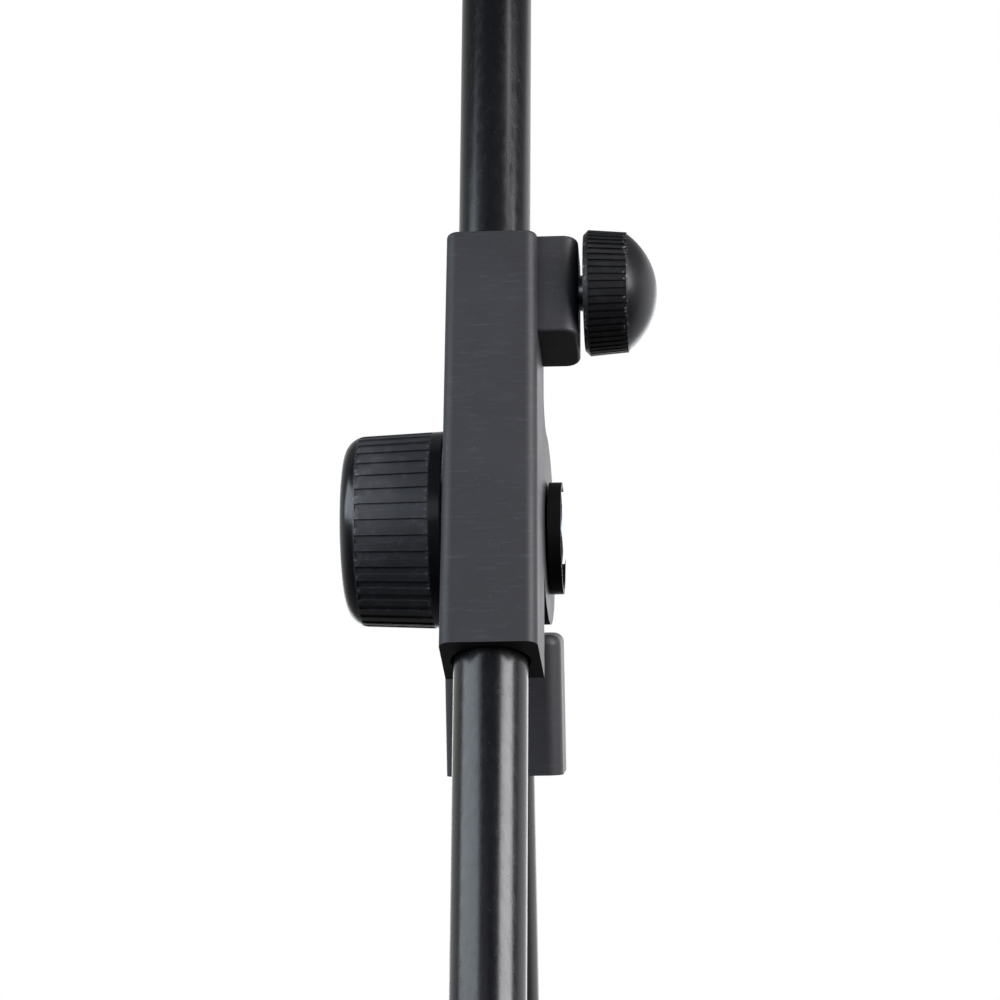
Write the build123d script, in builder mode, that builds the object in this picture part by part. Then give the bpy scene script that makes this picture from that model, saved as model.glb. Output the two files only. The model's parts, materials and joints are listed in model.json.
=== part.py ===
from build123d import *
import os
from math import cos, pi, radians, sin

os.makedirs("parts", exist_ok=True)

# A music stand: folding tripod, telescopic column, tilting arm housing, sliding arm and desk.
# Millimetres. Z is up, and the player stands at -Y. The origin is on the floor, at the middle
# of the stand's box. Radii are named "radius", full widths "width".

# ---- driving dimensions -------------------------------------------------------------------
column_x = 0.0
column_y = -68.5
clutch_height = 850.0
arm_lean = 24.0
arm_offset = 23.0
running_fit = 0.05
clear_gap = 0.3

# tubes
arm_radius = 8.0
arm_wall = 1.25
arm_bottom = -175.0
arm_top = 330.0
upper_radius = 7.0
upper_bottom = 330.0
lower_radius = 11.0
lower_wall = 1.5
lower_bottom = 52.0
lower_top = 470.0

# arm housing, measured along the arm from the clutch axis
sleeve_bottom = -40.9
sleeve_top = 57.4
sleeve_bottom_width = 20.9
sleeve_top_width = 20.0
sleeve_front = -34.2
sleeve_back = -13.05
bore_radius = 8.6
lobe_radius = 21.5
side_flare = 0.022
lobe_blend = 7.0
slot_width = 10.8
slot_radius = 12.6
lug_reach = 19.0
lug_front = -31.2
lug_bottom = 33.4
clamp_height = 46.8

# clutch stack, across the stand
bolt_radius = 4.0
head_flats = 16.0
tongue_width = 8.0
tongue_radius = 12.0
disc_width = 1.1
knob_face = 11.4
knob_collar = 3.0
knob_ribs = 16.0
knob_radius = 22.1
knob_end_radius = 21.1
knob_end_round = 5.0
knob_edge = 0.5
rib_count = 38

# block on the column, below the clutch axis
block_top = 23.5
block_bottom = 54.4
block_width = 25.8
block_depth = 22.0
block_side_shift = 0.8
block_roof = 5.0

# height collar
collar_bottom = 440.0
collar_top = 503.0
collar_radius = 14.4
bush_radius = 9.45
bush_bottom = 471.0
bush_top = 499.5
height_axis = 484.0

# tripod: the legs swing down to fold, and stop against the roof of their slots
hub_bottom = 54.0
hub_top = 90.0
hub_radius = 19.0
pivot_reach = 27.0
pivot_height = 70.0
pin_radius = 3.0
foot_reach = 286.0
foot_height = 13.5
leg_radius = 9.0
leg_wall = 1.5
leg_angles = [90, 210, 330]

# desk, in the arm's frame
desk_axis = 348.0
desk_width = 470.0
desk_height = 320.0
desk_sheet = 1.5
desk_back = -50.0
ledge_depth = 46.0
ledge_lip = 18.0

# ---- reference planes -----------------------------------------------------------------------
COLUMN = Plane(origin=(column_x, column_y, 0))
lean = radians(arm_lean)
# ARM: x across, y away from the player and square to the arm, z up along the arm
ARM = Plane(
    origin=(column_x, column_y, clutch_height),
    x_dir=(1, 0, 0),
    z_dir=(0, sin(lean), cos(lean)),
)


def arm_point(x, y, z):
    """A point given in the arm's frame."""
    return ARM.from_local_coords(Vector(x, y, z))


def arm_across(x, y=0.0, z=0.0):
    """A plane square to X: its x is the arm's y, and its y is the arm's z."""
    return Plane(origin=arm_point(x, y, z), x_dir=ARM.y_dir, z_dir=(1, 0, 0))


def arm_profile(y=0.0, z=0.0):
    """A plane for turned parts on an X axis: its x is X, and its y is the arm's z."""
    return Plane(origin=arm_point(0, y, z), x_dir=(1, 0, 0), z_dir=-ARM.y_dir)


def arm_facing(x, y, z):
    """A plane square to the arm's y: its x is X, and its y is the arm's z."""
    return Plane(origin=arm_point(x, y, z), x_dir=(1, 0, 0), z_dir=-ARM.y_dir)


def x_axis(y=0.0, z=0.0):
    """The X axis through a point of the arm's frame."""
    return Axis(arm_point(0, y, z), (1, 0, 0))


def column_across(x, z):
    """A plane square to X on the column: its x is Y, and its y is Z."""
    return Plane(origin=(column_x + x, column_y, z), x_dir=(0, 1, 0), z_dir=(1, 0, 0))


def column_behind(y, z):
    """A plane facing backwards behind the column: its x is -X, and its y is Z."""
    return Plane(origin=(column_x, column_y + y, z), x_dir=(-1, 0, 0), z_dir=(0, 1, 0))


def pin_plane(angle):
    """The plane across a leg's pin, for the leg that points at this angle."""
    return Plane(
        origin=(
            column_x + pivot_reach * cos(radians(angle)),
            column_y + pivot_reach * sin(radians(angle)),
            pivot_height,
        ),
        z_dir=(-sin(radians(angle)), cos(radians(angle)), 0),
    )


# ---- tripod -----------------------------------------------------------------------------------
fork_width = 21.0
fork_reach = 36.0
fork_top = 86.0
slot_gap = 8.8
slot_roof = 78.6
slot_inner = 18.4
cheek_half_height = 12.0
cheek_corner = 3.0
hub_round = 2.0
hub_screw_radius = 2.5
hub_screw_height = hub_top - 4.5

with BuildPart() as base_hub:
    with BuildSketch(COLUMN.offset(hub_bottom)):
        Circle(hub_radius)
    extrude(amount=hub_top - hub_bottom)
    with BuildSketch(COLUMN.offset(pivot_height - cheek_half_height)):
        with PolarLocations(0, 3, leg_angles[0]):
            with Locations((fork_reach / 2, 0)):
                RectangleRounded(fork_reach, fork_width, cheek_corner)
    extrude(amount=fork_top - pivot_height + cheek_half_height)
    fillet(base_hub.faces().sort_by(Axis.Z)[-1].edges().filter_by(GeomType.CIRCLE), hub_round)
    with BuildSketch(COLUMN.offset(slot_roof)):
        with PolarLocations(0, 3, leg_angles[0]):
            with Locations(((slot_inner + fork_reach + 1) / 2, 0)):
                Rectangle(fork_reach + 1 - slot_inner, slot_gap)
    extrude(amount=-slot_roof, mode=Mode.SUBTRACT)
    with BuildSketch(COLUMN.offset(lower_bottom)):
        Circle(lower_radius)
    extrude(amount=hub_top, mode=Mode.SUBTRACT)
    for angle in leg_angles:
        with BuildSketch(pin_plane(angle)):
            Circle(pin_radius)
        extrude(amount=fork_width, both=True, mode=Mode.SUBTRACT)
    with BuildSketch(column_across(-hub_radius - 1, hub_screw_height)):
        Circle(hub_screw_radius)
    extrude(amount=hub_radius - lower_radius + 2, mode=Mode.SUBTRACT)
base_hub.part.label = "base_hub"
export_step(base_hub.part, "parts/base_hub.step")

screw_sink = 0.4
socket_depth = 1.8
with BuildPart() as hub_screw:
    with BuildSketch(column_across(-hub_radius + screw_sink, hub_screw_height)):
        Circle(hub_screw_radius)
    extrude(amount=hub_radius - lower_radius - screw_sink)
    with BuildSketch(column_across(-hub_radius + screw_sink, hub_screw_height)):
        RegularPolygon(hub_screw_radius / 2, 6)
    extrude(amount=socket_depth, mode=Mode.SUBTRACT)
hub_screw.part.label = "hub_screw"
export_step(hub_screw.part, "parts/hub_screw.step")

plug_flange = 3.0
plug_lip = 4.0
plug_depth = 10.0
plug_wall = 2.0
plug_round = 1.5
with BuildPart() as hub_plug:
    with BuildSketch(COLUMN.offset(lower_bottom - plug_flange)):
        Circle(lower_radius + plug_lip)
    extrude(amount=plug_flange)
    fillet(hub_plug.faces().sort_by(Axis.Z)[0].edges(), plug_round)
    with BuildSketch(COLUMN.offset(lower_bottom)):
        Circle(lower_radius - lower_wall)
    extrude(amount=plug_depth)
    with BuildSketch(COLUMN.offset(lower_bottom + plug_wall)):
        Circle(lower_radius - lower_wall - plug_wall)
    extrude(amount=plug_depth, mode=Mode.SUBTRACT)
hub_plug.part.label = "hub_plug"
export_step(hub_plug.part, "parts/hub_plug.step")

leg_drop = pivot_height - foot_height
leg_run = foot_reach - pivot_reach
leg_length = (leg_drop**2 + leg_run**2) ** 0.5
tube_start = 22.0
shoulder_start = 19.0
tongue_half = 8.0
foot_wall = 2.6
foot_length = 32.0
pad_radius = 11.0
pad_reach = foot_reach - 9.0
spigot_length = 22.0
foot_cap = 3.0
foot_round = 1.2
foot_groove = 0.4
groove_width = 2.0

with BuildPart() as leg_pins:
    for angle in leg_angles:
        with BuildSketch(pin_plane(angle)):
            Circle(pin_radius)
        extrude(amount=fork_width / 2, both=True)
leg_pins.part.label = "leg_pins"
export_step(leg_pins.part, "parts/leg_pins.step")

for number, angle in enumerate(leg_angles, start=1):
    out = Vector(cos(radians(angle)), sin(radians(angle)), 0)
    side = Vector(-out.Y, out.X, 0)
    pivot = Vector(column_x, column_y, pivot_height) + out * pivot_reach
    along = (out * leg_run - Vector(0, 0, leg_drop)).normalized()
    leg_plane = Plane(origin=pivot, x_dir=side, z_dir=along)
    eye_plane = Plane(origin=pivot, x_dir=along, z_dir=side)

    with BuildPart() as leg_root:
        with BuildSketch(leg_plane.offset(tube_start)):
            Circle(leg_radius - leg_wall)
        extrude(amount=spigot_length)
        with BuildSketch(leg_plane.offset(shoulder_start)):
            Circle(leg_radius)
        extrude(amount=tube_start - shoulder_start)
        with BuildSketch(eye_plane):
            Circle(tongue_half)
            with Locations((shoulder_start / 2, 0)):
                Rectangle(shoulder_start, 2 * tongue_half)
        extrude(amount=slot_gap / 2 - clear_gap, both=True)
        with BuildSketch(eye_plane):
            Circle(pin_radius + running_fit)
        extrude(amount=slot_gap, both=True, mode=Mode.SUBTRACT)
    leg_root.part.label = f"leg_root_{number}"
    export_step(leg_root.part, f"parts/leg_root_{number}.step")

    with BuildPart() as leg_tube:
        with BuildSketch(leg_plane.offset(tube_start)):
            Circle(leg_radius)
            Circle(leg_radius - leg_wall, mode=Mode.SUBTRACT)
        extrude(amount=leg_length - tube_start)
    leg_tube.part.label = f"leg_tube_{number}"
    export_step(leg_tube.part, f"parts/leg_tube_{number}.step")

    pad_plane = Plane(origin=Vector(column_x, column_y, 0) + out * pad_reach)
    with BuildPart() as foot:
        with BuildSketch(leg_plane.offset(leg_length - foot_length + foot_cap)):
            Circle(leg_radius + foot_wall)
        extrude(amount=foot_length)
        fillet(foot.edges().filter_by(GeomType.CIRCLE), foot_round)
        with BuildSketch(pad_plane):
            Circle(pad_radius)
        extrude(amount=foot_height)
        with BuildSketch(leg_plane.offset(tube_start)):
            Circle(leg_radius)
        extrude(amount=leg_length - tube_start, mode=Mode.SUBTRACT)
        with BuildSketch(leg_plane.offset(leg_length - foot_length + groove_width)):
            Circle(leg_radius + foot_groove)
        extrude(amount=groove_width, mode=Mode.SUBTRACT)
    foot.part.label = f"foot_{number}"
    export_step(foot.part, f"parts/foot_{number}.step")

# ---- column ---------------------------------------------------------------------------------
with BuildPart() as column_lower_tube:
    with BuildSketch(COLUMN.offset(lower_bottom)):
        Circle(lower_radius)
        Circle(lower_radius - lower_wall, mode=Mode.SUBTRACT)
    extrude(amount=lower_top - lower_bottom)
column_lower_tube.part.label = "column_lower_tube"
export_step(column_lower_tube.part, "parts/column_lower_tube.step")

stud_radius = 4.0
boss_reach = 23.0
boss_width = 20.0
boss_height = 26.0
boss_corner = 4.0
boss_round = 1.2
collar_round = 1.5
rod_gap = 0.6
with BuildPart() as height_collar:
    with BuildSketch(COLUMN.offset(collar_bottom)):
        Circle(collar_radius)
    extrude(amount=collar_top - collar_bottom)
    with BuildSketch(column_behind(0, height_axis)):
        RectangleRounded(boss_width, boss_height, boss_corner)
    extrude(amount=boss_reach)
    fillet(height_collar.faces().sort_by(Axis.Y)[-1].edges(), boss_round)
    fillet(height_collar.faces().sort_by(Axis.Z)[-1].edges(), collar_round)
    fillet(height_collar.faces().sort_by(Axis.Z)[0].edges(), collar_round)
    with BuildSketch(COLUMN.offset(collar_bottom - 1)):
        Circle(lower_radius)
    extrude(amount=lower_top - collar_bottom + 1, mode=Mode.SUBTRACT)
    with BuildSketch(COLUMN.offset(lower_top)):
        Circle(bush_radius + running_fit)
    extrude(amount=bush_top + clear_gap - lower_top, mode=Mode.SUBTRACT)
    with BuildSketch(COLUMN.offset(bush_top)):
        Circle(upper_radius + rod_gap)
    extrude(amount=collar_top - bush_top + 1, mode=Mode.SUBTRACT)
    with BuildSketch(column_behind(lower_radius - 3, height_axis)):
        Circle(stud_radius + running_fit)
    extrude(amount=boss_reach, mode=Mode.SUBTRACT)
height_collar.part.label = "height_collar"
export_step(height_collar.part, "parts/height_collar.step")

with BuildPart() as height_bush:
    with BuildSketch(COLUMN.offset(bush_bottom)):
        Circle(bush_radius)
        Circle(upper_radius + running_fit, mode=Mode.SUBTRACT)
    extrude(amount=bush_top - bush_bottom)
height_bush.part.label = "height_bush"
export_step(height_bush.part, "parts/height_bush.step")

pad_play = 0.2
pad_start = bush_radius + 0.4
pad_end = pad_start + 2.5
with BuildPart() as height_pad:
    with BuildSketch(column_behind(pad_start, height_axis)):
        Circle(stud_radius - pad_play)
    extrude(amount=pad_end - pad_start)
height_pad.part.label = "height_pad"
export_step(height_pad.part, "parts/height_pad.step")

height_knob_face = boss_reach + 0.6
stud_hold = 11.5
with BuildPart() as height_stud:
    with BuildSketch(column_behind(pad_end + clear_gap, height_axis)):
        Circle(stud_radius)
    extrude(amount=height_knob_face + stud_hold - pad_end - clear_gap)
height_stud.part.label = "height_stud"
export_step(height_stud.part, "parts/height_stud.step")

with BuildPart() as column_upper_tube:
    with BuildSketch(COLUMN.offset(upper_bottom)):
        Circle(upper_radius)
        Circle(upper_radius - arm_wall, mode=Mode.SUBTRACT)
    extrude(amount=clutch_height - block_top - block_roof - upper_bottom)
column_upper_tube.part.label = "column_upper_tube"
export_step(column_upper_tube.part, "parts/column_upper_tube.step")

rod_plug_flange = 2.0
rod_plug_lip = 1.9
rod_plug_depth = 12.0
with BuildPart() as column_plug:
    with BuildSketch(COLUMN.offset(upper_bottom - rod_plug_flange)):
        Circle(upper_radius + rod_plug_lip)
    extrude(amount=rod_plug_flange)
    with BuildSketch(COLUMN.offset(upper_bottom)):
        Circle(upper_radius - arm_wall)
    extrude(amount=rod_plug_depth)
column_plug.part.label = "column_plug"
export_step(column_plug.part, "parts/column_plug.step")

# ---- tilt block: sleeve on the column, with a tongue up to the clutch axis ------------------
neck_width = 19.0
block_corner = 3.5
block_round = 2.2
screw_radius = 2.5
screw_drop = 42.0
screw_plane = Plane(
    origin=(column_x, column_y + block_depth / 2, clutch_height - screw_drop),
    x_dir=(1, 0, 0),
    z_dir=(0, -1, 0),
)
with BuildPart() as tilt_block:
    with BuildSketch(COLUMN.offset(clutch_height - block_bottom)):
        with Locations((block_side_shift, 0)):
            RectangleRounded(block_width, block_depth, block_corner)
    extrude(amount=block_bottom - block_top)
    fillet(tilt_block.faces().sort_by(Axis.Z)[-1].edges(), block_round)
    with BuildSketch(column_across(0, clutch_height)):
        Circle(tongue_radius)
        with Locations((0, -block_top / 2 - 1)):
            Rectangle(neck_width, block_top + 2)
    extrude(amount=tongue_width / 2, both=True)
    with BuildSketch(column_across(0, clutch_height)):
        Circle(bolt_radius + running_fit)
    extrude(amount=tongue_width, both=True, mode=Mode.SUBTRACT)
    with BuildSketch(COLUMN.offset(clutch_height - block_bottom - 1)):
        Circle(upper_radius)
    extrude(amount=block_bottom - block_top - block_roof + 1, mode=Mode.SUBTRACT)
    with BuildSketch(screw_plane):
        Circle(screw_radius)
    extrude(amount=block_depth / 2 - upper_radius + 0.5, mode=Mode.SUBTRACT)
tilt_block.part.label = "tilt_block"
export_step(tilt_block.part, "parts/tilt_block.step")

with BuildPart() as block_screw:
    with BuildSketch(screw_plane.offset(screw_sink)):
        Circle(screw_radius)
    extrude(amount=block_depth / 2 - screw_sink - upper_radius)
    with BuildSketch(screw_plane.offset(screw_sink)):
        RegularPolygon(screw_radius / 2, 6)
    extrude(amount=socket_depth, mode=Mode.SUBTRACT)
block_screw.part.label = "block_screw"
export_step(block_screw.part, "parts/block_screw.step")

for side_name, side in (("left", -1), ("right", 1)):
    disc_inner = side * tongue_width / 2
    with BuildPart() as friction_disc:
        with BuildSketch(column_across(disc_inner, clutch_height)):
            Circle(tongue_radius - clear_gap)
            Circle(bolt_radius + clear_gap, mode=Mode.SUBTRACT)
        extrude(amount=side * disc_width)
    friction_disc.part.label = f"friction_disc_{side_name}"
    export_step(friction_disc.part, f"parts/friction_disc_{side_name}.step")

# ---- arm housing: sleeve, lobe and lug in one casting ------------------------------------------
sleeve_depth = sleeve_back - sleeve_front
sleeve_length = sleeve_top - sleeve_bottom
lug_height = sleeve_top - lug_bottom
lug_depth = sleeve_back - lug_front
CLAMP = arm_across(0, -arm_offset, clamp_height)
slab_reach = lobe_radius + sleeve_depth
front_round = 2.6
back_round = 1.5



def flared(width, front, back):
    """The outline across the arm: its right side leans outwards from front to back."""
    right_front = width / 2 + side_flare * (front - sleeve_front)
    right_back = width / 2 + side_flare * (back - sleeve_front)
    return Polygon(
        (-width / 2, front),
        (right_front, front),
        (right_back, back),
        (-width / 2, back),
        align=None,
    )


with BuildPart() as sleeve_shape:
    with BuildSketch(ARM.offset(sleeve_bottom)):
        flared(sleeve_bottom_width, sleeve_front, sleeve_back)
    with BuildSketch(ARM.offset(sleeve_top)):
        flared(sleeve_top_width, sleeve_front, sleeve_back)
    loft()
    upright_edges = sleeve_shape.edges().filter_by(lambda edge: edge.length > sleeve_length - 1)
    sorted_edges = upright_edges.sort_by(Axis(ARM.origin, ARM.y_dir))
    fillet(sorted_edges[:2], front_round)

# the lobe shares the sleeve's drafted sides: it is cut from the same tapered slab
with BuildPart() as side_slab:
    with BuildSketch(ARM.offset(sleeve_bottom)):
        flared(sleeve_bottom_width, -slab_reach, slab_reach)
    with BuildSketch(ARM.offset(sleeve_top)):
        flared(sleeve_top_width, -slab_reach, slab_reach)
    loft()

web_overlap = 3.0
web_depth = 4.0
web_half_length = lobe_radius + 18.0
with BuildPart() as lobe_shape:
    with BuildSketch(arm_across(-lobe_radius)) as lobe_outline:
        Circle(lobe_radius)
        with Locations((sleeve_back - web_depth, 0)):
            Rectangle(2 * web_depth, 2 * sleeve_top)
        meeting = lobe_outline.vertices().filter_by_position(Axis.X, sleeve_back - 0.01, sleeve_back + 0.01)
        fillet(meeting.filter_by_position(Axis.Y, 1, lobe_radius), lobe_blend)
        with Locations((sleeve_back - web_overlap - lobe_radius, 0)):
            Rectangle(2 * lobe_radius, 3 * sleeve_top, mode=Mode.SUBTRACT)
        with Locations((0, sleeve_top), (0, -sleeve_top)):
            Rectangle(3 * lobe_radius, 2 * (sleeve_top - web_half_length), mode=Mode.SUBTRACT)
    extrude(amount=2 * lobe_radius)
    add(side_slab.part, mode=Mode.INTERSECT)

lug_start = 5.0
lug_corner = 3.4
edge_round = 0.9
with BuildPart() as lug_shape:
    with BuildSketch(ARM.offset(lug_bottom)) as lug_outline:
        with Locations(((lug_start + lug_reach) / 2, (lug_front + sleeve_back) / 2)):
            Rectangle(lug_reach - lug_start, lug_depth)
        fillet(lug_outline.vertices().sort_by(Axis.X)[-2:], lug_corner)
    extrude(amount=lug_height)
    fillet(lug_shape.faces().sort_by(Axis(ARM.origin, ARM.z_dir))[0].edges(), edge_round)

slot_inset = neck_width / 2 + 0.8
with BuildPart() as arm_housing:
    add(sleeve_shape.part)
    add(lobe_shape.part)
    add(lug_shape.part)
    top_face = arm_housing.faces().sort_by(Axis(ARM.origin, ARM.z_dir))[-1]
    fillet(top_face.edges(), edge_round)
    with BuildSketch(ARM.offset(sleeve_bottom - 1)):
        with Locations((0, -arm_offset)):
            Circle(bore_radius)
    extrude(amount=sleeve_length + 2, mode=Mode.SUBTRACT)
    with BuildSketch(arm_across(-slot_width / 2)):
        Circle(slot_radius)
        with Locations((lobe_radius - slot_inset, -lobe_radius + slot_inset)):
            Rectangle(2 * lobe_radius, 2 * lobe_radius)
    extrude(amount=slot_width, mode=Mode.SUBTRACT)
    with BuildSketch(arm_across(-lobe_radius)):
        Circle(bolt_radius + running_fit)
    extrude(amount=2 * lobe_radius, mode=Mode.SUBTRACT)
    with BuildSketch(CLAMP.offset(lug_start)):
        Circle(stud_radius + running_fit)
    extrude(amount=lug_reach, mode=Mode.SUBTRACT)
arm_housing.part.label = "arm_housing"
export_step(arm_housing.part, "parts/arm_housing.step")

# ---- clutch bolt, cup washer, washer and knob -------------------------------------------------
cup_seat = 11.4
cup_floor = 0.8
cup_depth = 2.9
cup_radius = 12.5
cup_wall = 1.2
cup_hole = 6.3
head_seat = cup_seat + cup_floor
head_height = 3.1
head_crown = 1.1
head_corner = head_flats / 2 / cos(radians(30))
crown_radius = (head_corner**2 + head_crown**2) / (2 * head_crown)
bolt_tip = -27.0

with BuildPart() as bolt_head:
    with BuildSketch(arm_across(head_seat)):
        RegularPolygon(head_flats / 2, 6, major_radius=False, rotation=arm_lean)
    extrude(amount=head_height)
    with Locations(arm_point(head_seat + head_height - crown_radius, 0, 0)):
        Sphere(crown_radius, mode=Mode.INTERSECT)

with BuildPart() as tilt_bolt:
    add(bolt_head.part)
    with BuildSketch(arm_across(bolt_tip)):
        Circle(bolt_radius)
    extrude(amount=head_seat + 1 - bolt_tip)
tilt_bolt.part.label = "tilt_bolt"
export_step(tilt_bolt.part, "parts/tilt_bolt.step")

# the cup washer is loose and hangs on the bolt by its large hole
cup_sag = cup_hole - bolt_radius
with BuildPart() as bolt_cup:
    with BuildSketch(column_across(cup_seat, clutch_height - cup_sag)):
        Circle(cup_radius)
    extrude(amount=cup_depth)
    with BuildSketch(column_across(cup_seat + cup_floor, clutch_height - cup_sag)):
        Circle(cup_radius - cup_wall)
    extrude(amount=cup_depth, mode=Mode.SUBTRACT)
    with BuildSketch(column_across(cup_seat, clutch_height - cup_sag)):
        Circle(cup_hole)
    extrude(amount=cup_floor, mode=Mode.SUBTRACT)
bolt_cup.part.label = "bolt_cup"
export_step(bolt_cup.part, "parts/bolt_cup.step")

washer_start = -10.45
washer_width = 0.8
washer_radius = 11.0
with BuildPart() as tilt_washer:
    with BuildSketch(arm_across(washer_start)):
        Circle(washer_radius)
        Circle(bolt_radius + running_fit, mode=Mode.SUBTRACT)
    extrude(amount=-washer_width)
tilt_washer.part.label = "tilt_washer"
export_step(tilt_washer.part, "parts/tilt_washer.step")

groove_depth = 0.45
groove_end = knob_face + knob_collar + knob_ribs
knob_shoulder = groove_end + 3.1
knob_tip = groove_end + 4.6
knob_crown = knob_tip - knob_shoulder
knob_crown_radius = (knob_end_radius**2 + knob_crown**2) / (2 * knob_crown)
nut_flats = 13.0
nut_start = knob_face + 1.0
nut_length = 9.0


def knob_side(reach):
    """The big knob's radius at a distance from the stand's middle: it narrows outwards."""
    share = (reach - knob_face) / (knob_shoulder - knob_face)
    return knob_radius + (knob_end_radius - knob_radius) * share


with BuildPart() as knob_grooves:
    groove_start = knob_face + knob_collar
    with BuildSketch(arm_profile()):
        with BuildLine():
            Polyline(
                (-groove_start, knob_side(groove_start) - groove_depth),
                (-groove_start, knob_radius + 3),
                (-groove_end, knob_radius + 3),
                (-groove_end, knob_side(groove_end) - groove_depth),
                close=True,
            )
        make_face()
    revolve(axis=x_axis())
    with BuildSketch(arm_across(-knob_tip)):
        with PolarLocations(knob_radius, rib_count):
            Rectangle(knob_radius / 2, pi * knob_radius / rib_count)
    extrude(amount=knob_tip, mode=Mode.INTERSECT)

with BuildPart() as tilt_knob:
    with BuildSketch(arm_profile()) as knob_outline:
        with BuildLine():
            Polyline(
                (-knob_tip, 0),
                (-knob_face, 0),
                (-knob_face, knob_side(knob_face)),
                (-knob_shoulder, knob_end_radius),
            )
            RadiusArc((-knob_shoulder, knob_end_radius), (-knob_tip, 0), -knob_crown_radius)
        make_face()
        fillet(knob_outline.vertices().group_by(Axis.Y)[-1], knob_edge)
        rim = knob_outline.vertices().filter_by_position(Axis.X, -knob_tip, -groove_end - 1)
        fillet(rim.sort_by(Axis.Y)[-1], knob_end_round)
    revolve(axis=x_axis())
    add(knob_grooves.part, mode=Mode.SUBTRACT)
    with BuildSketch(arm_across(-nut_start)):
        RegularPolygon(nut_flats / 2, 6, major_radius=False)
    extrude(amount=-nut_length, mode=Mode.SUBTRACT)
    with BuildSketch(arm_across(-knob_face)):
        Circle(bolt_radius + clear_gap)
    extrude(amount=bolt_tip + knob_face - 1, mode=Mode.SUBTRACT)
tilt_knob.part.label = "tilt_knob"
export_step(tilt_knob.part, "parts/tilt_knob.step")

with BuildPart() as tilt_knob_nut:
    with BuildSketch(arm_across(-nut_start)):
        RegularPolygon(nut_flats / 2, 6, major_radius=False)
        Circle(bolt_radius + running_fit, mode=Mode.SUBTRACT)
    extrude(amount=-nut_length)
tilt_knob_nut.part.label = "tilt_knob_nut"
export_step(tilt_knob_nut.part, "parts/tilt_knob_nut.step")

# ---- three equal small knobs: arm clamp, height clamp and desk hinge ----------------------------
small_lip = 1.1
small_band = 8.5
small_radius = 14.05
small_outer_radius = 13.35
small_dome_base = 13.0
small_dome_height = 6.5
small_groove_depth = 0.42
small_groove_width = 0.75
small_rib_count = 52
small_bore_depth = stud_hold + 0.5
small_tip = small_lip + small_band + small_dome_height
dome_radius = (small_dome_base**2 + small_dome_height**2) / (2 * small_dome_height)
lug_gap = 1.2
desk_knob_start = 9.4
DESK_HINGE = arm_across(0, -arm_offset, desk_axis)
KNOB_TOWARDS_LEFT = Plane(origin=DESK_HINGE.origin, x_dir=DESK_HINGE.x_dir, z_dir=(-1, 0, 0))
small_knob_places = {
    "clamp_knob": CLAMP.offset(lug_reach + lug_gap),
    "height_knob": column_behind(height_knob_face, height_axis),
    "desk_knob": KNOB_TOWARDS_LEFT.offset(desk_knob_start),
}

for name, place in small_knob_places.items():
    profile_plane = Plane(origin=place.origin, x_dir=place.z_dir, z_dir=-place.x_dir)
    spin = Axis(place.origin, place.z_dir)
    band_end = small_lip + small_band
    with BuildPart() as small_grooves:
        with BuildSketch(profile_plane):
            with BuildLine():
                Polyline(
                    (small_lip, small_radius - small_groove_depth),
                    (small_lip, small_radius + 2),
                    (band_end + 1, small_radius + 2),
                    (band_end + 1, small_outer_radius - small_groove_depth),
                    close=True,
                )
            make_face()
        revolve(axis=spin)
        with BuildSketch(place):
            with PolarLocations(small_radius, small_rib_count, start_angle=180 / small_rib_count):
                Rectangle(6, small_groove_width)
        extrude(amount=band_end + 1, mode=Mode.INTERSECT)

    with BuildPart() as small_knob:
        with BuildSketch(profile_plane):
            with BuildLine():
                Polyline(
                    (small_tip, 0),
                    (0, 0),
                    (0, small_radius - small_lip),
                    (small_lip, small_radius),
                    (band_end, small_outer_radius),
                    (band_end, small_dome_base),
                )
                RadiusArc((band_end, small_dome_base), (small_tip, 0), dome_radius)
            make_face()
        revolve(axis=spin)
        add(small_grooves.part, mode=Mode.SUBTRACT)
        with BuildSketch(place):
            Circle(stud_radius + running_fit)
        extrude(amount=small_bore_depth, mode=Mode.SUBTRACT)
    small_knob.part.label = name
    export_step(small_knob.part, f"parts/{name}.step")

clamp_pad_start = bore_radius + 0.6
clamp_pad_length = 2.2
with BuildPart() as clamp_pad:
    with BuildSketch(CLAMP.offset(clamp_pad_start)):
        Circle(stud_radius - pad_play)
    extrude(amount=clamp_pad_length)
clamp_pad.part.label = "clamp_pad"
export_step(clamp_pad.part, "parts/clamp_pad.step")

clamp_stud_start = clamp_pad_start + clamp_pad_length + clear_gap
with BuildPart() as clamp_stud:
    with BuildSketch(CLAMP.offset(clamp_stud_start)):
        Circle(stud_radius)
    extrude(amount=lug_reach + lug_gap + stud_hold - clamp_stud_start)
clamp_stud.part.label = "clamp_stud"
export_step(clamp_stud.part, "parts/clamp_stud.step")

# ---- arm -------------------------------------------------------------------------------------
ARM_TUBE = Plane(origin=arm_point(0, -arm_offset, 0), x_dir=(1, 0, 0), z_dir=ARM.z_dir)
liner_inset = 5.0
with BuildPart() as arm_liner:
    with BuildSketch(ARM_TUBE.offset(sleeve_bottom + liner_inset)):
        Circle(bore_radius - running_fit)
        Circle(arm_radius + running_fit, mode=Mode.SUBTRACT)
    extrude(amount=sleeve_length - 2 * liner_inset)
arm_liner.part.label = "arm_liner"
export_step(arm_liner.part, "parts/arm_liner.step")

with BuildPart() as arm_tube:
    with BuildSketch(ARM_TUBE.offset(arm_bottom)):
        Circle(arm_radius)
        Circle(arm_radius - arm_wall, mode=Mode.SUBTRACT)
    extrude(amount=arm_top - arm_bottom)
arm_tube.part.label = "arm_tube"
export_step(arm_tube.part, "parts/arm_tube.step")

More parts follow.
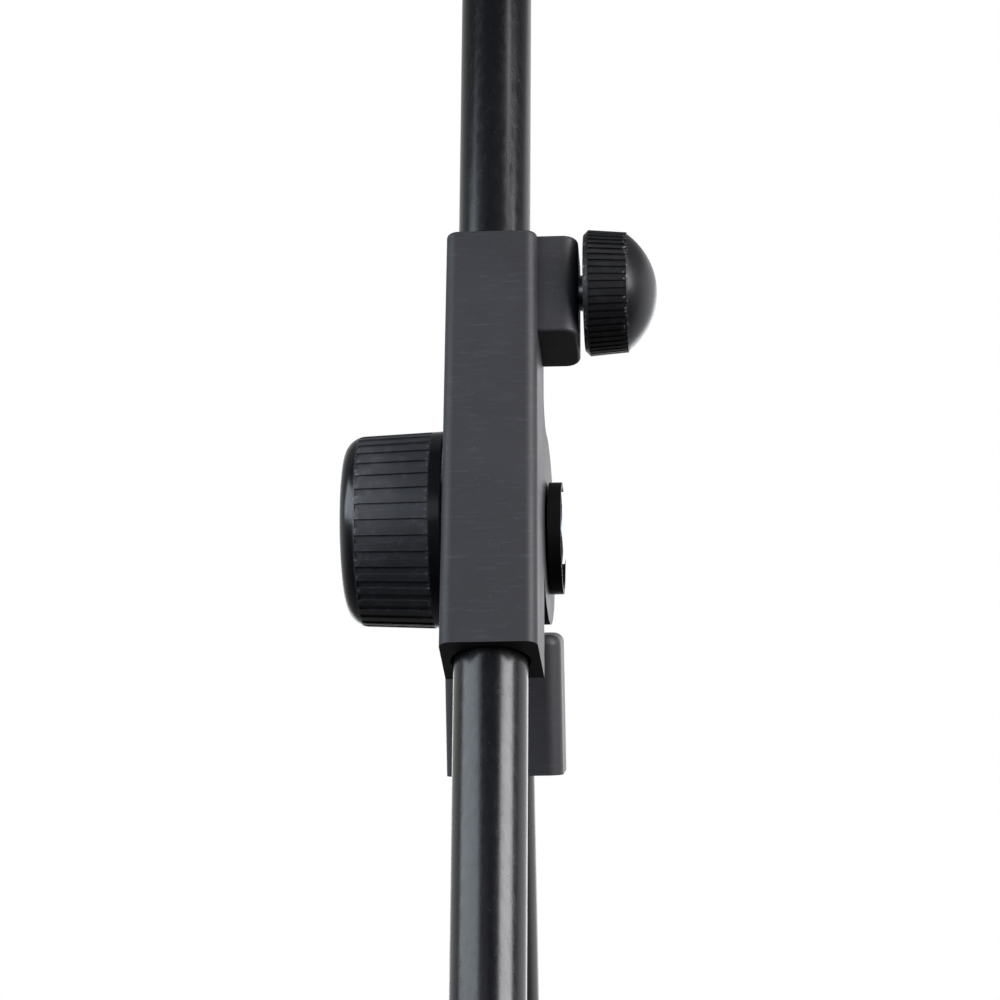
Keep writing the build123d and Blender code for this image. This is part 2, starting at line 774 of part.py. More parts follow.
arm_plug_cap = 2.5
arm_plug_depth = 14.0
with BuildPart() as arm_plug:
    with BuildSketch(ARM_TUBE.offset(arm_bottom - arm_plug_cap)):
        Circle(arm_radius)
    extrude(amount=arm_plug_cap)
    fillet(arm_plug.faces().sort_by(Axis(ARM.origin, ARM.z_dir))[0].edges(), plug_round)
    with BuildSketch(ARM_TUBE.offset(arm_bottom)):
        Circle(arm_radius - arm_wall)
    extrude(amount=arm_plug_depth)
arm_plug.part.label = "arm_plug"
export_step(arm_plug.part, "parts/arm_plug.step")

bracket_width = 8.0
bracket_spigot = 24.0
bracket_flange = 3.0
ear_radius = 9.0
with BuildPart() as desk_bracket:
    with BuildSketch(ARM_TUBE.offset(arm_top - bracket_spigot)):
        Circle(arm_radius - arm_wall)
    extrude(amount=bracket_spigot)
    with BuildSketch(ARM_TUBE.offset(arm_top)):
        Circle(arm_radius)
    extrude(amount=bracket_flange)
    with BuildSketch(arm_across(-bracket_width / 2, -arm_offset, desk_axis)):
        Circle(ear_radius - 1)
        with Locations((0, (arm_top - desk_axis) / 2)):
            Rectangle(2 * arm_radius - 3, desk_axis - arm_top)
    extrude(amount=bracket_width)
    with BuildSketch(arm_across(-bracket_width, -arm_offset, desk_axis)):
        Circle(bolt_radius + running_fit)
    extrude(amount=2 * bracket_width, mode=Mode.SUBTRACT)
desk_bracket.part.label = "desk_bracket"
export_step(desk_bracket.part, "parts/desk_bracket.step")

# ---- desk ------------------------------------------------------------------------------------
ear_width = 3.5
ear_inner = bracket_width / 2 + clear_gap
fork_base = 3.5
fork_base_width = 54.0
fork_base_height = 62.0
fork_base_corner = 6.0
fork_rivet_grid = (40.0, 46.0, 2, 2)
rivet_radius = 2.0
ear_length = -arm_offset - desk_back
with BuildPart() as desk_fork:
    with BuildSketch(arm_facing(0, desk_back, desk_axis)):
        RectangleRounded(fork_base_width, fork_base_height, fork_base_corner)
    extrude(amount=-fork_base)
    for side in (-1, 1):
        with BuildSketch(arm_across(side * ear_inner, -arm_offset, desk_axis)):
            Circle(ear_radius)
            with Locations((-ear_length / 2, 0)):
                Rectangle(ear_length, 2 * ear_radius)
        extrude(amount=side * ear_width)
    with BuildSketch(arm_across(-bracket_width * 2, -arm_offset, desk_axis)):
        Circle(bolt_radius + running_fit)
    extrude(amount=4 * bracket_width, mode=Mode.SUBTRACT)
    with BuildSketch(arm_facing(0, desk_back, desk_axis)):
        with GridLocations(*fork_rivet_grid):
            Circle(rivet_radius)
    extrude(amount=-fork_base, mode=Mode.SUBTRACT)
desk_fork.part.label = "desk_fork"
export_step(desk_fork.part, "parts/desk_fork.step")

desk_head_flats = 13.0
desk_head_height = 5.3
desk_bolt_head = ear_inner + ear_width
with BuildPart() as desk_bolt:
    with BuildSketch(DESK_HINGE.offset(desk_bolt_head)):
        RegularPolygon(desk_head_flats / 2, 6, major_radius=False)
    extrude(amount=desk_head_height)
    with BuildSketch(DESK_HINGE.offset(desk_bolt_head)):
        Circle(bolt_radius)
    extrude(amount=-desk_bolt_head - desk_knob_start - stud_hold)
desk_bolt.part.label = "desk_bolt"
export_step(desk_bolt.part, "parts/desk_bolt.step")

desk_washer_width = 1.2
with BuildPart() as desk_washer:
    with BuildSketch(DESK_HINGE.offset(-ear_inner - ear_width)):
        Circle(ear_radius)
        Circle(bolt_radius + running_fit, mode=Mode.SUBTRACT)
    extrude(amount=-desk_washer_width)
desk_washer.part.label = "desk_washer"
export_step(desk_washer.part, "parts/desk_washer.step")

plate_bottom = desk_axis - desk_height / 2
plate_front = desk_back - desk_sheet
slot_grid = (58.0, 96.0, 7, 3)
slot_length = 62.0
slot_span = 12.0
top_corner = 28.0
bottom_corner = 6.0
ledge_rivet_grid = (140.0, 1.0, 4, 1)
ledge_rivet_height = 8.0
with BuildPart() as desk_plate:
    with BuildSketch(arm_facing(0, desk_back, desk_axis)) as plate_outline:
        Rectangle(desk_width, desk_height)
        fillet(plate_outline.vertices().sort_by(Axis.Y)[-2:], top_corner)
        fillet(plate_outline.vertices().sort_by(Axis.Y)[:2], bottom_corner)
        with GridLocations(*slot_grid):
            SlotOverall(slot_length, slot_span, rotation=90, mode=Mode.SUBTRACT)
        RectangleRounded(fork_base_width + 6, fork_base_height + 8, fork_base_corner)
        with GridLocations(*fork_rivet_grid):
            Circle(rivet_radius, mode=Mode.SUBTRACT)
        with Locations((0, ledge_rivet_height - desk_height / 2)):
            with GridLocations(*ledge_rivet_grid):
                Circle(rivet_radius, mode=Mode.SUBTRACT)
    extrude(amount=desk_sheet)
desk_plate.part.label = "desk_plate"
export_step(desk_plate.part, "parts/desk_plate.step")

ledge_flange = 16.0
ledge_bend = 1.3
clip_span = 300.0
clip_grid = (clip_span, 1.0, 2, 1)
clip_height = 10.0
with BuildPart() as desk_ledge:
    with BuildSketch(arm_across(-desk_width / 2, 0, plate_bottom)) as ledge_outline:
        with Locations((plate_front, 0)):
            Rectangle(desk_sheet, ledge_flange, align=(Align.MAX, Align.MIN))
            Rectangle(ledge_depth, desk_sheet, align=(Align.MAX, Align.MIN))
        with Locations((plate_front - ledge_depth, 0)):
            Rectangle(desk_sheet, ledge_lip, align=(Align.MIN, Align.MIN))
    extrude(amount=desk_width)
    long_edges = desk_ledge.edges().filter_by(Axis.X)
    fillet(long_edges.group_by(Axis(ARM.origin, ARM.z_dir))[0], ledge_bend)
    with BuildSketch(arm_facing(0, plate_front, plate_bottom + ledge_rivet_height)):
        with GridLocations(*ledge_rivet_grid):
            Circle(rivet_radius)
    extrude(amount=desk_sheet, mode=Mode.SUBTRACT)
    with BuildSketch(arm_facing(0, plate_front - ledge_depth + desk_sheet, plate_bottom)):
        with Locations((0, clip_height)):
            with GridLocations(*clip_grid):
                Circle(rivet_radius)
    extrude(amount=desk_sheet, mode=Mode.SUBTRACT)
desk_ledge.part.label = "desk_ledge"
export_step(desk_ledge.part, "parts/desk_ledge.step")

rivet_head = 3.6
rivet_head_height = 1.3
rivet_head_round = 0.9
rivet_tail = 1.0
with BuildPart() as fork_rivets:
    with BuildSketch(arm_facing(0, plate_front, desk_axis)):
        with GridLocations(*fork_rivet_grid):
            Circle(rivet_head)
    extrude(amount=rivet_head_height)
    with BuildSketch(arm_facing(0, plate_front, desk_axis)):
        with GridLocations(*fork_rivet_grid):
            Circle(rivet_radius)
    extrude(amount=-desk_sheet - fork_base)
    fillet(fork_rivets.faces().sort_by(Axis(ARM.origin, ARM.y_dir))[0:4].edges(), rivet_head_round)
fork_rivets.part.label = "fork_rivets"
export_step(fork_rivets.part, "parts/fork_rivets.step")

with BuildPart() as ledge_rivets:
    with BuildSketch(arm_facing(0, plate_front - desk_sheet, plate_bottom + ledge_rivet_height)):
        with GridLocations(*ledge_rivet_grid):
            Circle(rivet_head)
    extrude(amount=rivet_head_height)
    with BuildSketch(arm_facing(0, plate_front - desk_sheet, plate_bottom + ledge_rivet_height)):
        with GridLocations(*ledge_rivet_grid):
            Circle(rivet_radius)
    extrude(amount=-2 * desk_sheet - rivet_tail)
    fillet(ledge_rivets.faces().sort_by(Axis(ARM.origin, ARM.y_dir))[0:4].edges(), rivet_head_round)
ledge_rivets.part.label = "ledge_rivets"
export_step(ledge_rivets.part, "parts/ledge_rivets.step")

clip_sheet = 1.2
clip_width = 11.0
clip_length = 105.0
clip_front = plate_front - ledge_depth - clear_gap
with BuildPart() as clip_rivets:
    with BuildSketch(arm_facing(0, clip_front - clip_sheet - clear_gap, plate_bottom + clip_height)):
        with GridLocations(*clip_grid):
            Circle(rivet_head)
    extrude(amount=rivet_head_height)
    with BuildSketch(arm_facing(0, clip_front - clip_sheet - clear_gap, plate_bottom + clip_height)):
        with GridLocations(*clip_grid):
            Circle(rivet_radius)
    extrude(amount=-clip_sheet - 2 * clear_gap - desk_sheet)
    fillet(clip_rivets.faces().sort_by(Axis(ARM.origin, ARM.y_dir))[0:2].edges(), rivet_head_round)
clip_rivets.part.label = "clip_rivets"
export_step(clip_rivets.part, "parts/clip_rivets.step")

for clip_name, side in (("page_clip_left", -1), ("page_clip_right", 1)):
    clip_plane = arm_facing(side * clip_span / 2, clip_front, plate_bottom + clip_height)
    with BuildPart() as page_clip:
        with BuildSketch(clip_plane):
            with Locations((-side * clip_length / 2 + side * clip_width / 2, 0)):
                SlotOverall(clip_length, clip_width)
            Circle(rivet_radius + running_fit, mode=Mode.SUBTRACT)
        extrude(amount=clip_sheet)
    page_clip.part.label = clip_name
    export_step(page_clip.part, f"parts/{clip_name}.step")
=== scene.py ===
import json
import math

import bpy
from mathutils import Matrix, Vector


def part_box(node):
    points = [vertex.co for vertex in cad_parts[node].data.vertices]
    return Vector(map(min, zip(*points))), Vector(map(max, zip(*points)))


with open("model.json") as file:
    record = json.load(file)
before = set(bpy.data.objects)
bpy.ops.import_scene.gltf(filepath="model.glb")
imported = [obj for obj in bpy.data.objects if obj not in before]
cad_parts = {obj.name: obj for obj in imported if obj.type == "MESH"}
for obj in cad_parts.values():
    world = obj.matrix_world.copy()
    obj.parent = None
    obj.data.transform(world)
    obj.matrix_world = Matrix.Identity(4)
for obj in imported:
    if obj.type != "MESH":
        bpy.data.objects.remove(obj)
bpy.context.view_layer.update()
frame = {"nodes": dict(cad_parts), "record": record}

nodes = frame["nodes"]
scene = bpy.context.scene

# ---- places and sizes, in metres -------------------------------------------------------------
# the tilt clutch, where the arm turns on the column, and how far the arm leans back from upright
CLUTCH = Vector((0.0, -0.0685, 0.850))
LEAN = math.radians(24.0)
UPRIGHT = (0.0, 0.0, 0.0)
ALONG_ARM = (-LEAN, 0.0, 0.0)

# where the ribbed gripping band of a knob starts and ends along its axis: for the tilt knob
# from the clutch, and for the small knobs from the face of the rim
TILT_KNOB_BAND = (0.0144, 0.0304)
SMALL_KNOB_BAND = (0.0, 0.0096)

# the floor is a disc that clears to the white world between two distances from its middle
FLOOR_RADIUS = 6.0
FLOOR_CORNERS = 96
FLOOR_FADE = (0.8, 2.6)

# the camera at the photo's viewing angle: its place from the clutch, its right hand and its
# line of sight, and its sensor and lens in millimetres
CAMERA_FROM_CLUTCH = Vector((0.0480, -0.7912, 0.00135))
CAMERA_RIGHT = Vector((0.99800, 0.06024, -0.01895)).normalized()
CAMERA_AHEAD = Vector((-0.06013, 0.99817, 0.00652)).normalized()
SENSOR_WIDTH = 36.0
FOCAL_LENGTH = 127.75


# ---- short calls for the nodes ---------------------------------------------------------------
class Nodes:
    """A node tree, with short calls that make its nodes. Each input may be another node's
    socket or a plain value."""

    def __init__(self, tree):
        self.tree = tree

    def new(self, kind):
        return self.tree.nodes.new("ShaderNode" + kind)

    def link(self, source, socket):
        """Feeds a socket from another node's socket, or sets it to a plain value."""
        if isinstance(source, bpy.types.NodeSocket):
            self.tree.links.new(source, socket)
        else:
            socket.default_value = source

    def noise(self, vector, scale, detail=4.0, rough=0.55, distortion=0.0):
        node = self.new("TexNoise")
        self.link(vector, node.inputs["Vector"])
        node.inputs["Scale"].default_value = scale
        node.inputs["Detail"].default_value = detail
        node.inputs["Roughness"].default_value = rough
        node.inputs["Distortion"].default_value = distortion
        return node.outputs["Fac"]

    def cells(self, vector, scale, feature):
        node = self.new("TexVoronoi")
        node.feature = feature
        self.link(vector, node.inputs["Vector"])
        node.inputs["Scale"].default_value = scale
        return node.outputs["Distance"]

    def remap(self, value, low, high, out_low, out_high, smooth=False):
        node = self.new("MapRange")
        node.interpolation_type = "SMOOTHSTEP" if smooth else "LINEAR"
        self.link(value, node.inputs["Value"])
        node.inputs["From Min"].default_value = low
        node.inputs["From Max"].default_value = high
        node.inputs["To Min"].default_value = out_low
        node.inputs["To Max"].default_value = out_high
        return node.outputs["Result"]

    def math(self, operation, a, b=0.0, c=0.0):
        node = self.new("Math")
        node.operation = operation
        for source, socket in zip((a, b, c), node.inputs):
            self.link(source, socket)
        return node.outputs["Value"]

    def split(self, vector):
        node = self.new("SeparateXYZ")
        self.link(vector, node.inputs["Vector"])
        return node.outputs

    def mix(self, factor, a, b):
        node = self.new("Mix")
        node.data_type = "RGBA"
        self.link(factor, node.inputs["Factor"])
        for source, socket in ((a, node.inputs[6]), (b, node.inputs[7])):
            if not isinstance(source, bpy.types.NodeSocket):
                source = (*source, 1.0)
            self.link(source, socket)
        return node.outputs[2]

    def bump(self, height, distance, strength=1.0, normal=None):
        node = self.new("Bump")
        self.link(height, node.inputs["Height"])
        node.inputs["Distance"].default_value = distance
        node.inputs["Strength"].default_value = strength
        if normal is not None:
            self.link(normal, node.inputs["Normal"])
        return node.outputs["Normal"]

    def mix_shaders(self, factor, first, second):
        node = self.new("MixShader")
        self.link(factor, node.inputs["Fac"])
        self.link(first, node.inputs[1])
        self.link(second, node.inputs[2])
        return node.outputs["Shader"]


class Shade(Nodes):
    """A material being made from its Principled BSDF, in the object's own coordinates."""

    def __init__(self, name):
        self.mat = bpy.data.materials.new(name)
        self.mat.use_nodes = True
        super().__init__(self.mat.node_tree)
        self.bsdf = self.tree.nodes["Principled BSDF"]
        self.coords = self.new("TexCoord").outputs["Object"]

    def placed(self, origin=(0, 0, 0), turn=(0, 0, 0), scale=(1, 1, 1)):
        """The object's coordinates from a new origin, turned and then stretched."""
        shifted = self.new("VectorMath")
        shifted.operation = "SUBTRACT"
        self.link(self.coords, shifted.inputs[0])
        shifted.inputs[1].default_value = origin
        node = self.new("Mapping")
        self.link(shifted.outputs[0], node.inputs["Vector"])
        node.inputs["Rotation"].default_value = turn
        node.inputs["Scale"].default_value = scale
        return node.outputs["Vector"]

    def finish(self, color, roughness, normal=None, **constant):
        """Feeds the shader. Constants are set on its own sockets, named with _ for a space."""
        self.link(color, self.bsdf.inputs["Base Color"])
        self.link(roughness, self.bsdf.inputs["Roughness"])
        if normal is not None:
            self.link(normal, self.bsdf.inputs["Normal"])
        for socket, value in constant.items():
            self.bsdf.inputs[socket.replace("_", " ")].default_value = value
        return self.mat


# ---- finishes --------------------------------------------------------------------------------
def tube_paint(name, turn):
    """Semi-gloss black enamel on drawn tube: faint draw lines along it, orange peel, dust."""
    s = Shade(name)
    along = s.placed(turn=turn, scale=(1.0, 1.0, 0.04))
    fine = s.placed(turn=turn)
    lines = s.noise(along, 900.0, 3.0)
    peel = s.noise(fine, 420.0, 2.0)
    cloud = s.noise(fine, 28.0, 3.0)
    dust = s.remap(s.noise(fine, 1700.0, 1.0), 0.745, 0.80, 0.0, 1.0, True)
    color = s.mix(cloud, (0.0065, 0.0065, 0.0072), (0.012, 0.012, 0.0135))
    color = s.mix(s.math("MULTIPLY", dust, 0.35), color, (0.10, 0.10, 0.105))
    rough = s.math("ADD", s.remap(lines, 0.3, 0.7, 0.20, 0.29), s.math("MULTIPLY", dust, 0.2))
    normal = s.bump(peel, 0.000006, 0.5)
    normal = s.bump(lines, 0.00001, 0.4, normal)
    return s.finish(color, rough, normal, Specular_IOR_Level=0.5)


def cast_paint(name, turn, brushed):
    """Satin black paint on a casting: fine texture, faint cross marks and pale specks."""
    s = Shade(name)
    fine = s.placed(turn=turn)
    across = s.placed(turn=turn, scale=(0.12, 0.12, 1.0))
    grain = s.noise(fine, 2600.0, 3.0, 0.6)
    marks = s.noise(across, 1500.0, 3.0, 0.6)
    cloud = s.noise(fine, 45.0, 4.0)
    color = s.mix(cloud, (0.026, 0.0252, 0.0295), (0.035, 0.0341, 0.0398))
    mark = s.remap(marks, 0.52, 0.75, 0.0, brushed, True)
    color = s.mix(mark, color, (0.056, 0.0548, 0.0628))
    speck = s.remap(s.noise(fine, 1150.0, 2.0, 0.6), 0.69, 0.76, 0.0, 0.5, True)
    color = s.mix(speck, color, (0.085, 0.0835, 0.093))
    broad = s.remap(cloud, 0.3, 0.7, 0.48, 0.56)
    rough = s.math("ADD", broad, s.remap(grain, 0.3, 0.7, -0.03, 0.05))
    normal = s.bump(grain, 0.00003, 0.45)
    normal = s.bump(marks, 0.00002, 0.25 * brushed, normal)
    return s.finish(color, rough, normal, Specular_IOR_Level=0.5)


def powder_coat(name):
    """Fine textured black powder coat on sheet steel."""
    s = Shade(name)
    fine = s.placed()
    grit = s.cells(fine, 1300.0, "SMOOTH_F1")
    soft = s.noise(fine, 700.0, 3.0)
    cloud = s.noise(fine, 12.0, 4.0)
    streaks = s.noise(s.placed(scale=(1.0, 1.0, 0.25)), 60.0, 5.0, 0.7)
    rub = s.remap(streaks, 0.62, 0.74, 0.0, 1.0, True)
    color = s.mix(cloud, (0.0145, 0.0145, 0.0155), (0.021, 0.021, 0.0225))
    color = s.mix(s.math("MULTIPLY", rub, 0.25), color, (0.045, 0.045, 0.048))
    rough = s.math("SUBTRACT", s.remap(soft, 0.3, 0.7, 0.50, 0.60), s.math("MULTIPLY", rub, 0.12))
    normal = s.bump(grit, 0.00008, 0.5)
    normal = s.bump(soft, 0.00006, 0.4, normal)
    return s.finish(color, rough, normal, Specular_IOR_Level=0.45)


def knob_plastic(name, origin, axis, side, band, worn_tones, crown_rough, gloss):
    """Black nylon: the gripping band is satin and scuffed, the crown beyond it is shinier.
    The knob's axis is 0 for X or 1 for Y, and side is the way that the crown points along it.
    worn_tones are the two greys of the scuffed band."""
    s = Shade(name)
    local = s.placed(origin=origin)
    out = s.math("MULTIPLY", s.split(local)[axis], float(side))
    grip = s.math(
        "MULTIPLY",
        s.remap(out, band[0] - 0.0004, band[0] + 0.0002, 0.0, 1.0, True),
        s.remap(out, band[1] - 0.0002, band[1] + 0.0006, 1.0, 0.0, True),
    )
    grain = s.noise(local, 1900.0, 4.0, 0.65)
    scuff = s.remap(s.noise(local, 320.0, 5.0, 0.7), 0.48, 0.70, 0.0, 1.0, True)
    speck = s.remap(s.noise(local, 1900.0, 2.0, 0.7), 0.70, 0.78, 0.0, 0.7, True)
    cloud = s.noise(local, 90.0, 3.0)
    dark = s.mix(cloud, (0.008, 0.008, 0.009), (0.013, 0.013, 0.0145))
    worn = s.mix(scuff, *[(v, v, 1.12 * v) for v in worn_tones])
    worn = s.mix(speck, worn, [(2.2 * worn_tones[1])] * 3)
    color = s.mix(grip, dark, worn)
    # pale chips on the ribs, near both ends of the band
    middle = (band[0] + band[1]) / 2
    half = (band[1] - band[0]) / 2
    off_middle = s.math("ABSOLUTE", s.math("SUBTRACT", out, middle))
    near_end = s.remap(off_middle, half - 0.0011, half - 0.0004, 0.0, 1.0, True)
    chips = s.remap(s.noise(local, 1250.0, 2.0, 0.6), 0.57, 0.65, 0.0, 0.6, True)
    chipped = s.math("MULTIPLY", s.math("MULTIPLY", grip, near_end), chips)
    color = s.mix(chipped, color, (0.26, 0.26, 0.27))
    smooth = s.remap(cloud, 0.3, 0.7, crown_rough, crown_rough + 0.07)
    satin = s.remap(grain, 0.3, 0.7, 0.36, 0.52)
    rough = s.math("ADD", s.math("MULTIPLY", grip, satin),
                   s.math("MULTIPLY", s.math("SUBTRACT", 1.0, grip), smooth))
    relief = s.math("MULTIPLY", grain, s.math("MULTIPLY_ADD", grip, 0.8, 0.2))
    normal = s.bump(relief, 0.00004, 0.6)
    return s.finish(color, rough, normal, Specular_IOR_Level=gloss)


def plain_plastic(name, shade, low, high, gloss):
    """Moulded plastic with a light mould texture and a few handling scuffs."""
    s = Shade(name)
    fine = s.placed()
    grain = s.noise(fine, 2200.0, 3.0)
    cloud = s.noise(fine, 70.0, 4.0)
    scuff = s.remap(s.noise(fine, 420.0, 5.0, 0.7), 0.60, 0.74, 0.0, 1.0, True)
    color = s.mix(cloud, tuple(0.8 * v for v in shade), tuple(1.25 * v for v in shade))
    color = s.mix(s.math("MULTIPLY", scuff, 0.3), color, tuple(2.6 * v for v in shade))
    rough = s.remap(cloud, 0.3, 0.7, low, high)
    return s.finish(color, rough, s.bump(grain, 0.00003, 0.35), Specular_IOR_Level=gloss)


def plated(name):
    """Bright zinc-plated steel with a cool cast, fine turning marks and a few dull spots."""
    s = Shade(name)
    fine = s.placed()
    turned = s.noise(s.placed(scale=(1.0, 0.15, 0.15)), 2400.0, 3.0)
    spots = s.remap(s.noise(fine, 380.0, 4.0, 0.7), 0.55, 0.75, 0.0, 1.0, True)
    color = s.mix(spots, (0.42, 0.452, 0.495), (0.33, 0.355, 0.395))
    rough = s.math("ADD", s.remap(turned, 0.3, 0.7, 0.26, 0.38), s.math("MULTIPLY", spots, 0.15))
    return s.finish(color, rough, s.bump(turned, 0.00001, 0.5), Metallic=1.0)


def brass(name):
    """Turned brass, a little tarnished."""
    s = Shade(name)
    fine = s.placed()
    turned = s.noise(s.placed(scale=(1.0, 0.15, 0.15)), 2400.0, 3.0)
    tarnish = s.noise(fine, 160.0, 5.0, 0.65)
    color = s.mix(tarnish, (0.78, 0.60, 0.28), (0.52, 0.36, 0.15))
    rough = s.remap(turned, 0.3, 0.7, 0.24, 0.40)
    return s.finish(color, rough, s.bump(turned, 0.00001, 0.5), Metallic=1.0)


def black_steel(name):
    """Blackened screws and rivets: dark oxide with brighter high spots."""
    s = Shade(name)
    fine = s.placed()
    grain = s.noise(fine, 1500.0, 4.0)
    rub = s.remap(s.noise(fine, 500.0, 4.0, 0.7), 0.58, 0.72, 0.0, 1.0, True)
    color = s.mix(rub, (0.035, 0.035, 0.037), (0.12, 0.12, 0.125))
    rough = s.remap(grain, 0.3, 0.7, 0.32, 0.46)
    return s.finish(color, rough, s.bump(grain, 0.00002, 0.4), Metallic=0.85)


def fibre(name):
    """Pressed brown fibre of the friction discs."""
    s = Shade(name)
    hair = s.noise(s.placed(scale=(1.0, 0.3, 1.0)), 900.0, 5.0, 0.7, 1.5)
    color = s.mix(hair, (0.10, 0.065, 0.04), (0.26, 0.19, 0.13))
    rough = s.remap(s.noise(s.placed(), 500.0), 0.3, 0.7, 0.75, 0.92)
    return s.finish(color, rough, s.bump(hair, 0.00005, 0.7))


def rubber(name):
    """Matte black rubber feet with floor dust on them."""
    s = Shade(name)
    fine = s.placed()
    grain = s.noise(fine, 1600.0, 4.0)
    dust = s.noise(fine, 120.0, 5.0, 0.7)
    height = s.split(s.coords)[2]
    low = s.remap(height, 0.0, 0.012, 0.6, 0.05, True)
    dusty = s.math("MULTIPLY", low, s.remap(dust, 0.45, 0.7, 0.0, 1.0, True))
    color = s.mix(dusty, (0.013, 0.013, 0.0135), (0.07, 0.067, 0.062))
    rough = s.remap(grain, 0.3, 0.7, 0.62, 0.80)
    return s.finish(color, rough, s.bump(grain, 0.00006, 0.6), Specular_IOR_Level=0.35)


def small_knob(node, axis, side):
    """The finish of a small domed knob, whose ribbed rim is at the end away from its crown."""
    lo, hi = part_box(node)
    rim = (lo + hi) / 2
    rim[axis] = hi[axis] if side < 0 else lo[axis]
    tones = (0.009, 0.019)
    return knob_plastic(node + "_nylon", rim, axis, side, SMALL_KNOB_BAND, tones, 0.26, 0.35)


# ---- which finish goes where: by material slot, and by node where a node has one of its own --
finishes = {
    "tube_paint": tube_paint("paint_on_column", UPRIGHT),
    "cast_paint": cast_paint("paint_on_castings", UPRIGHT, 0.3),
    "desk_paint": powder_coat("powder_coat_on_desk"),
    "cup_plastic": plain_plastic("black_cap_plastic", (0.004, 0.004, 0.0042), 0.42, 0.52, 0.15),
    "zinc": plated("zinc_plating"),
    "black_screw": black_steel("blackened_steel"),
    "brass": brass("turned_brass"),
    "liner": plain_plastic("black_nylon", (0.020, 0.020, 0.021), 0.45, 0.55, 0.45),
    "fibre": fibre("pressed_fibre"),
    "rubber": rubber("foot_rubber"),
}
special = {
    "arm_tube": tube_paint("paint_on_arm", ALONG_ARM),
    "arm_housing": cast_paint("paint_on_housing", ALONG_ARM, 0.6),
    "tilt_knob": knob_plastic(
        "tilt_knob_nylon", CLUTCH, 0, -1, TILT_KNOB_BAND, (0.060, 0.090), 0.20, 0.5
    ),
    "clamp_knob": small_knob("clamp_knob", 0, 1),
    "height_knob": small_knob("height_knob", 1, 1),
    "desk_knob": small_knob("desk_knob", 0, -1),
}
for row in frame["record"]["subparts"]:
    mesh = nodes[row["node"]].data
    mesh.materials.clear()
    mesh.materials.append(special.get(row["node"]) or finishes[row["material_slot"]])

# ---- floor -----------------------------------------------------------------------------------
floor_mesh = bpy.data.meshes.new("floor")
turns = [k * math.tau / FLOOR_CORNERS for k in range(FLOOR_CORNERS)]
corners = [(FLOOR_RADIUS * math.cos(a), FLOOR_RADIUS * math.sin(a), 0.0) for a in turns]
floor_mesh.from_pydata(corners, [], [tuple(range(FLOOR_CORNERS))])
floor = bpy.data.objects.new("floor", floor_mesh)
scene.collection.objects.link(floor)

s = Shade("pale_floor")
s.finish(s.mix(s.noise(s.coords, 1.5, 3.0), (0.80, 0.80, 0.80), (0.84, 0.84, 0.84)), 0.7)
distance = s.new("VectorMath")
distance.operation = "LENGTH"
s.link(s.coords, distance.inputs[0])
fade = s.remap(distance.outputs["Value"], *FLOOR_FADE, 0.0, 1.0, True)
clear = s.new("BsdfTransparent").outputs["BSDF"]
faded = s.mix_shaders(fade, s.bsdf.outputs["BSDF"], clear)
s.link(faded, s.tree.nodes["Material Output"].inputs["Surface"])
floor_mesh.materials.append(s.mat)

# no light bounces from it, so that the undersides of the joint stay dark
floor.visible_diffuse = False
floor.visible_glossy = False

# ---- world: white where the camera sees it, dim as light -------------------------------------
world = bpy.data.worlds.new("studio")
scene.world = world
world.use_nodes = True
sky = Nodes(world.node_tree)
sky.tree.nodes.clear()


def white_light(strength):
    node = sky.new("Background")
    node.inputs["Color"].default_value = (1.0, 1.0, 1.0, 1.0)
    sky.link(strength, node.inputs["Strength"])
    return node.outputs["Background"]


# its light is weak from the front, stronger from behind, and falls off above and below
way = sky.split(sky.new("TexCoord").outputs["Generated"])
from_behind = sky.remap(way["Y"], -0.45, 0.6, 0.03, 0.75, True)
near_level = sky.remap(sky.math("ABSOLUTE", way["Z"]), 0.0, 0.55, 1.0, 0.18, True)
dim = white_light(sky.math("MULTIPLY", from_behind, near_level))
camera_ray = sky.new("LightPath").outputs["Is Camera Ray"]
either = sky.mix_shaders(camera_ray, dim, white_light(1.0))
sky.link(either, sky.new("OutputWorld").inputs["Surface"])


# ---- lamps -----------------------------------------------------------------------------------
def area_lamp(name, width, height, radiance, tint):
    """A rectangular lamp that shines down its own -Z, and radiance is how bright it looks."""
    lamp = bpy.data.lights.new(name, "AREA")
    lamp.shape = "RECTANGLE"
    lamp.size = width
    lamp.size_y = height
    lamp.energy = radiance * math.pi * width * height
    lamp.color = tint
    thing = bpy.data.objects.new(name, lamp)
    scene.collection.objects.link(thing)
    thing.visible_camera = False
    return thing


def aim(thing, target, away, distance):
    """Puts a lamp at a distance from its target, in the direction away, to shine back at it."""
    thing.location = target + away * distance
    thing.rotation_mode = "QUATERNION"
    thing.rotation_quaternion = away.to_track_quat("Z", "Y")


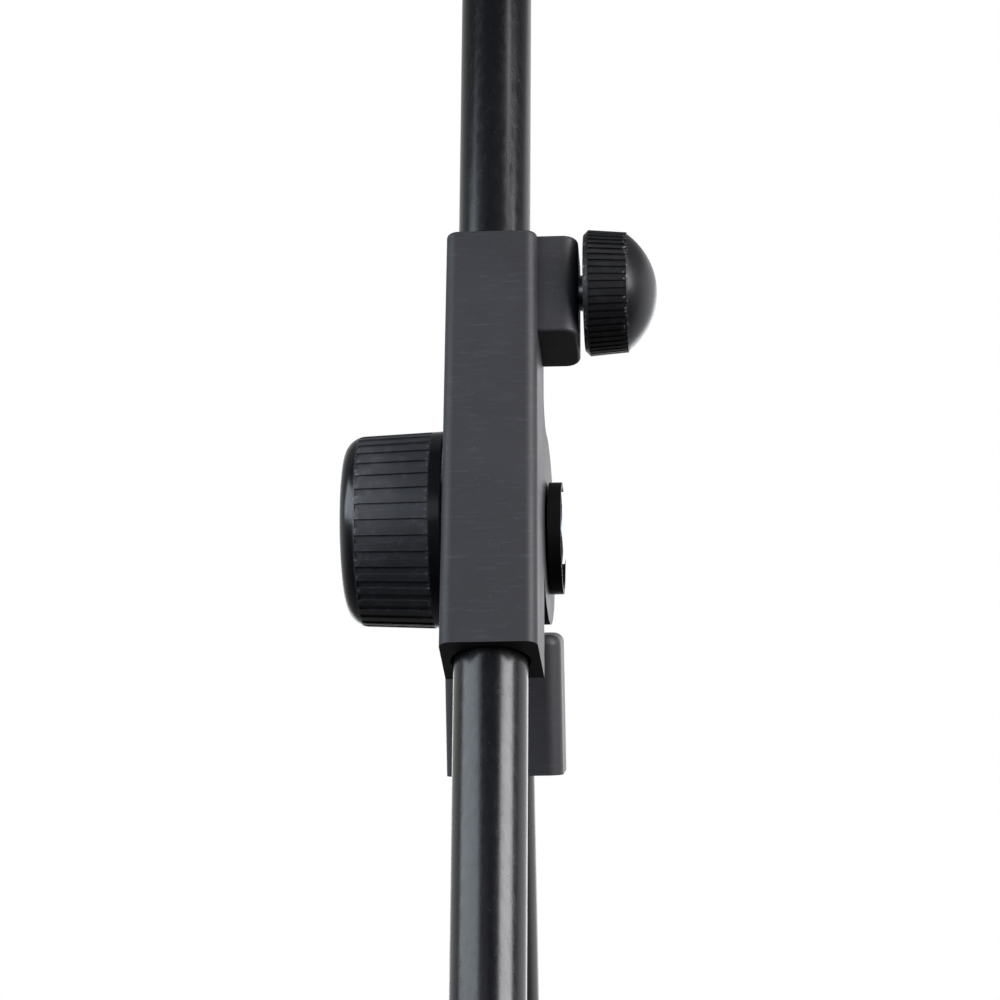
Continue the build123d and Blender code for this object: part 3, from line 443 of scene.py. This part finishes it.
def softbox(name, azimuth, distance, width, bottom, top, radiance, tint):
    """An upright lamp that faces the clutch's vertical line. Azimuth 0 is towards -Y, and
    positive is towards +X. Bottom and top are its edges, as heights above the floor."""
    thing = area_lamp(name, width, top - bottom, radiance, tint)
    a = math.radians(azimuth)
    target = Vector((CLUTCH.x, CLUTCH.y, (top + bottom) / 2))
    aim(thing, target, Vector((math.sin(a), -math.cos(a), 0.0)), distance)


# name, azimuth, distance, width, bottom, top, radiance, tint
softbox("light_left", -62.0, 0.85, 1.12, 1.00, 1.58, 4.4, (0.82, 0.91, 1.0))
softbox("light_right", 62.0, 0.85, 0.62, 0.98, 1.52, 10.6, (0.97, 0.97, 1.0))
softbox("light_front", -18.0, 0.95, 0.80, 1.10, 1.55, 0.55, (0.95, 0.95, 1.0))
softbox("light_back", 135.0, 0.85, 1.00, 0.25, 1.20, 0.50, (0.95, 0.97, 1.0))
softbox("light_behind", 180.0, 1.60, 1.60, 0.10, 1.05, 1.60, (0.95, 0.97, 1.0))

# a small lamp high up on the right, for the glint on the domes
glint = area_lamp("light_glint", 0.34, 0.50, 5.0, (1.0, 1.0, 1.0))
aim(glint, CLUTCH, Vector((0.45, -0.125, 0.87)).normalized(), 1.0)

# a lamp overhead that lights nothing but the floor
sweep = area_lamp("light_sweep", 4.0, 4.0, 2.3, (1.0, 0.99, 0.97))
sweep.location = (0.0, 0.0, 3.5)
lit_by_sweep = bpy.data.collections.new("lit_by_sweep")
lit_by_sweep.objects.link(floor)
sweep.light_linking.receiver_collection = lit_by_sweep

scene.view_settings.view_transform = "Standard"
scene.view_settings.look = "None"
scene.view_settings.exposure = 0.0
scene.view_settings.gamma = 1.0

# ---- camera ----------------------------------------------------------------------------------
lens = bpy.data.cameras.new("camera")
lens.sensor_width = SENSOR_WIDTH
lens.lens = FOCAL_LENGTH
lens.clip_start = 0.05
lens.clip_end = 60.0
camera = bpy.data.objects.new("camera", lens)
scene.collection.objects.link(camera)
axes = Matrix((CAMERA_RIGHT, CAMERA_RIGHT.cross(CAMERA_AHEAD), -CAMERA_AHEAD)).transposed()
camera.matrix_world = Matrix.Translation(CLUTCH + CAMERA_FROM_CLUTCH) @ axes.to_4x4()
scene.camera = camera

# ---- the scene brought up to date ------------------------------------------------------------
bpy.context.view_layer.update()
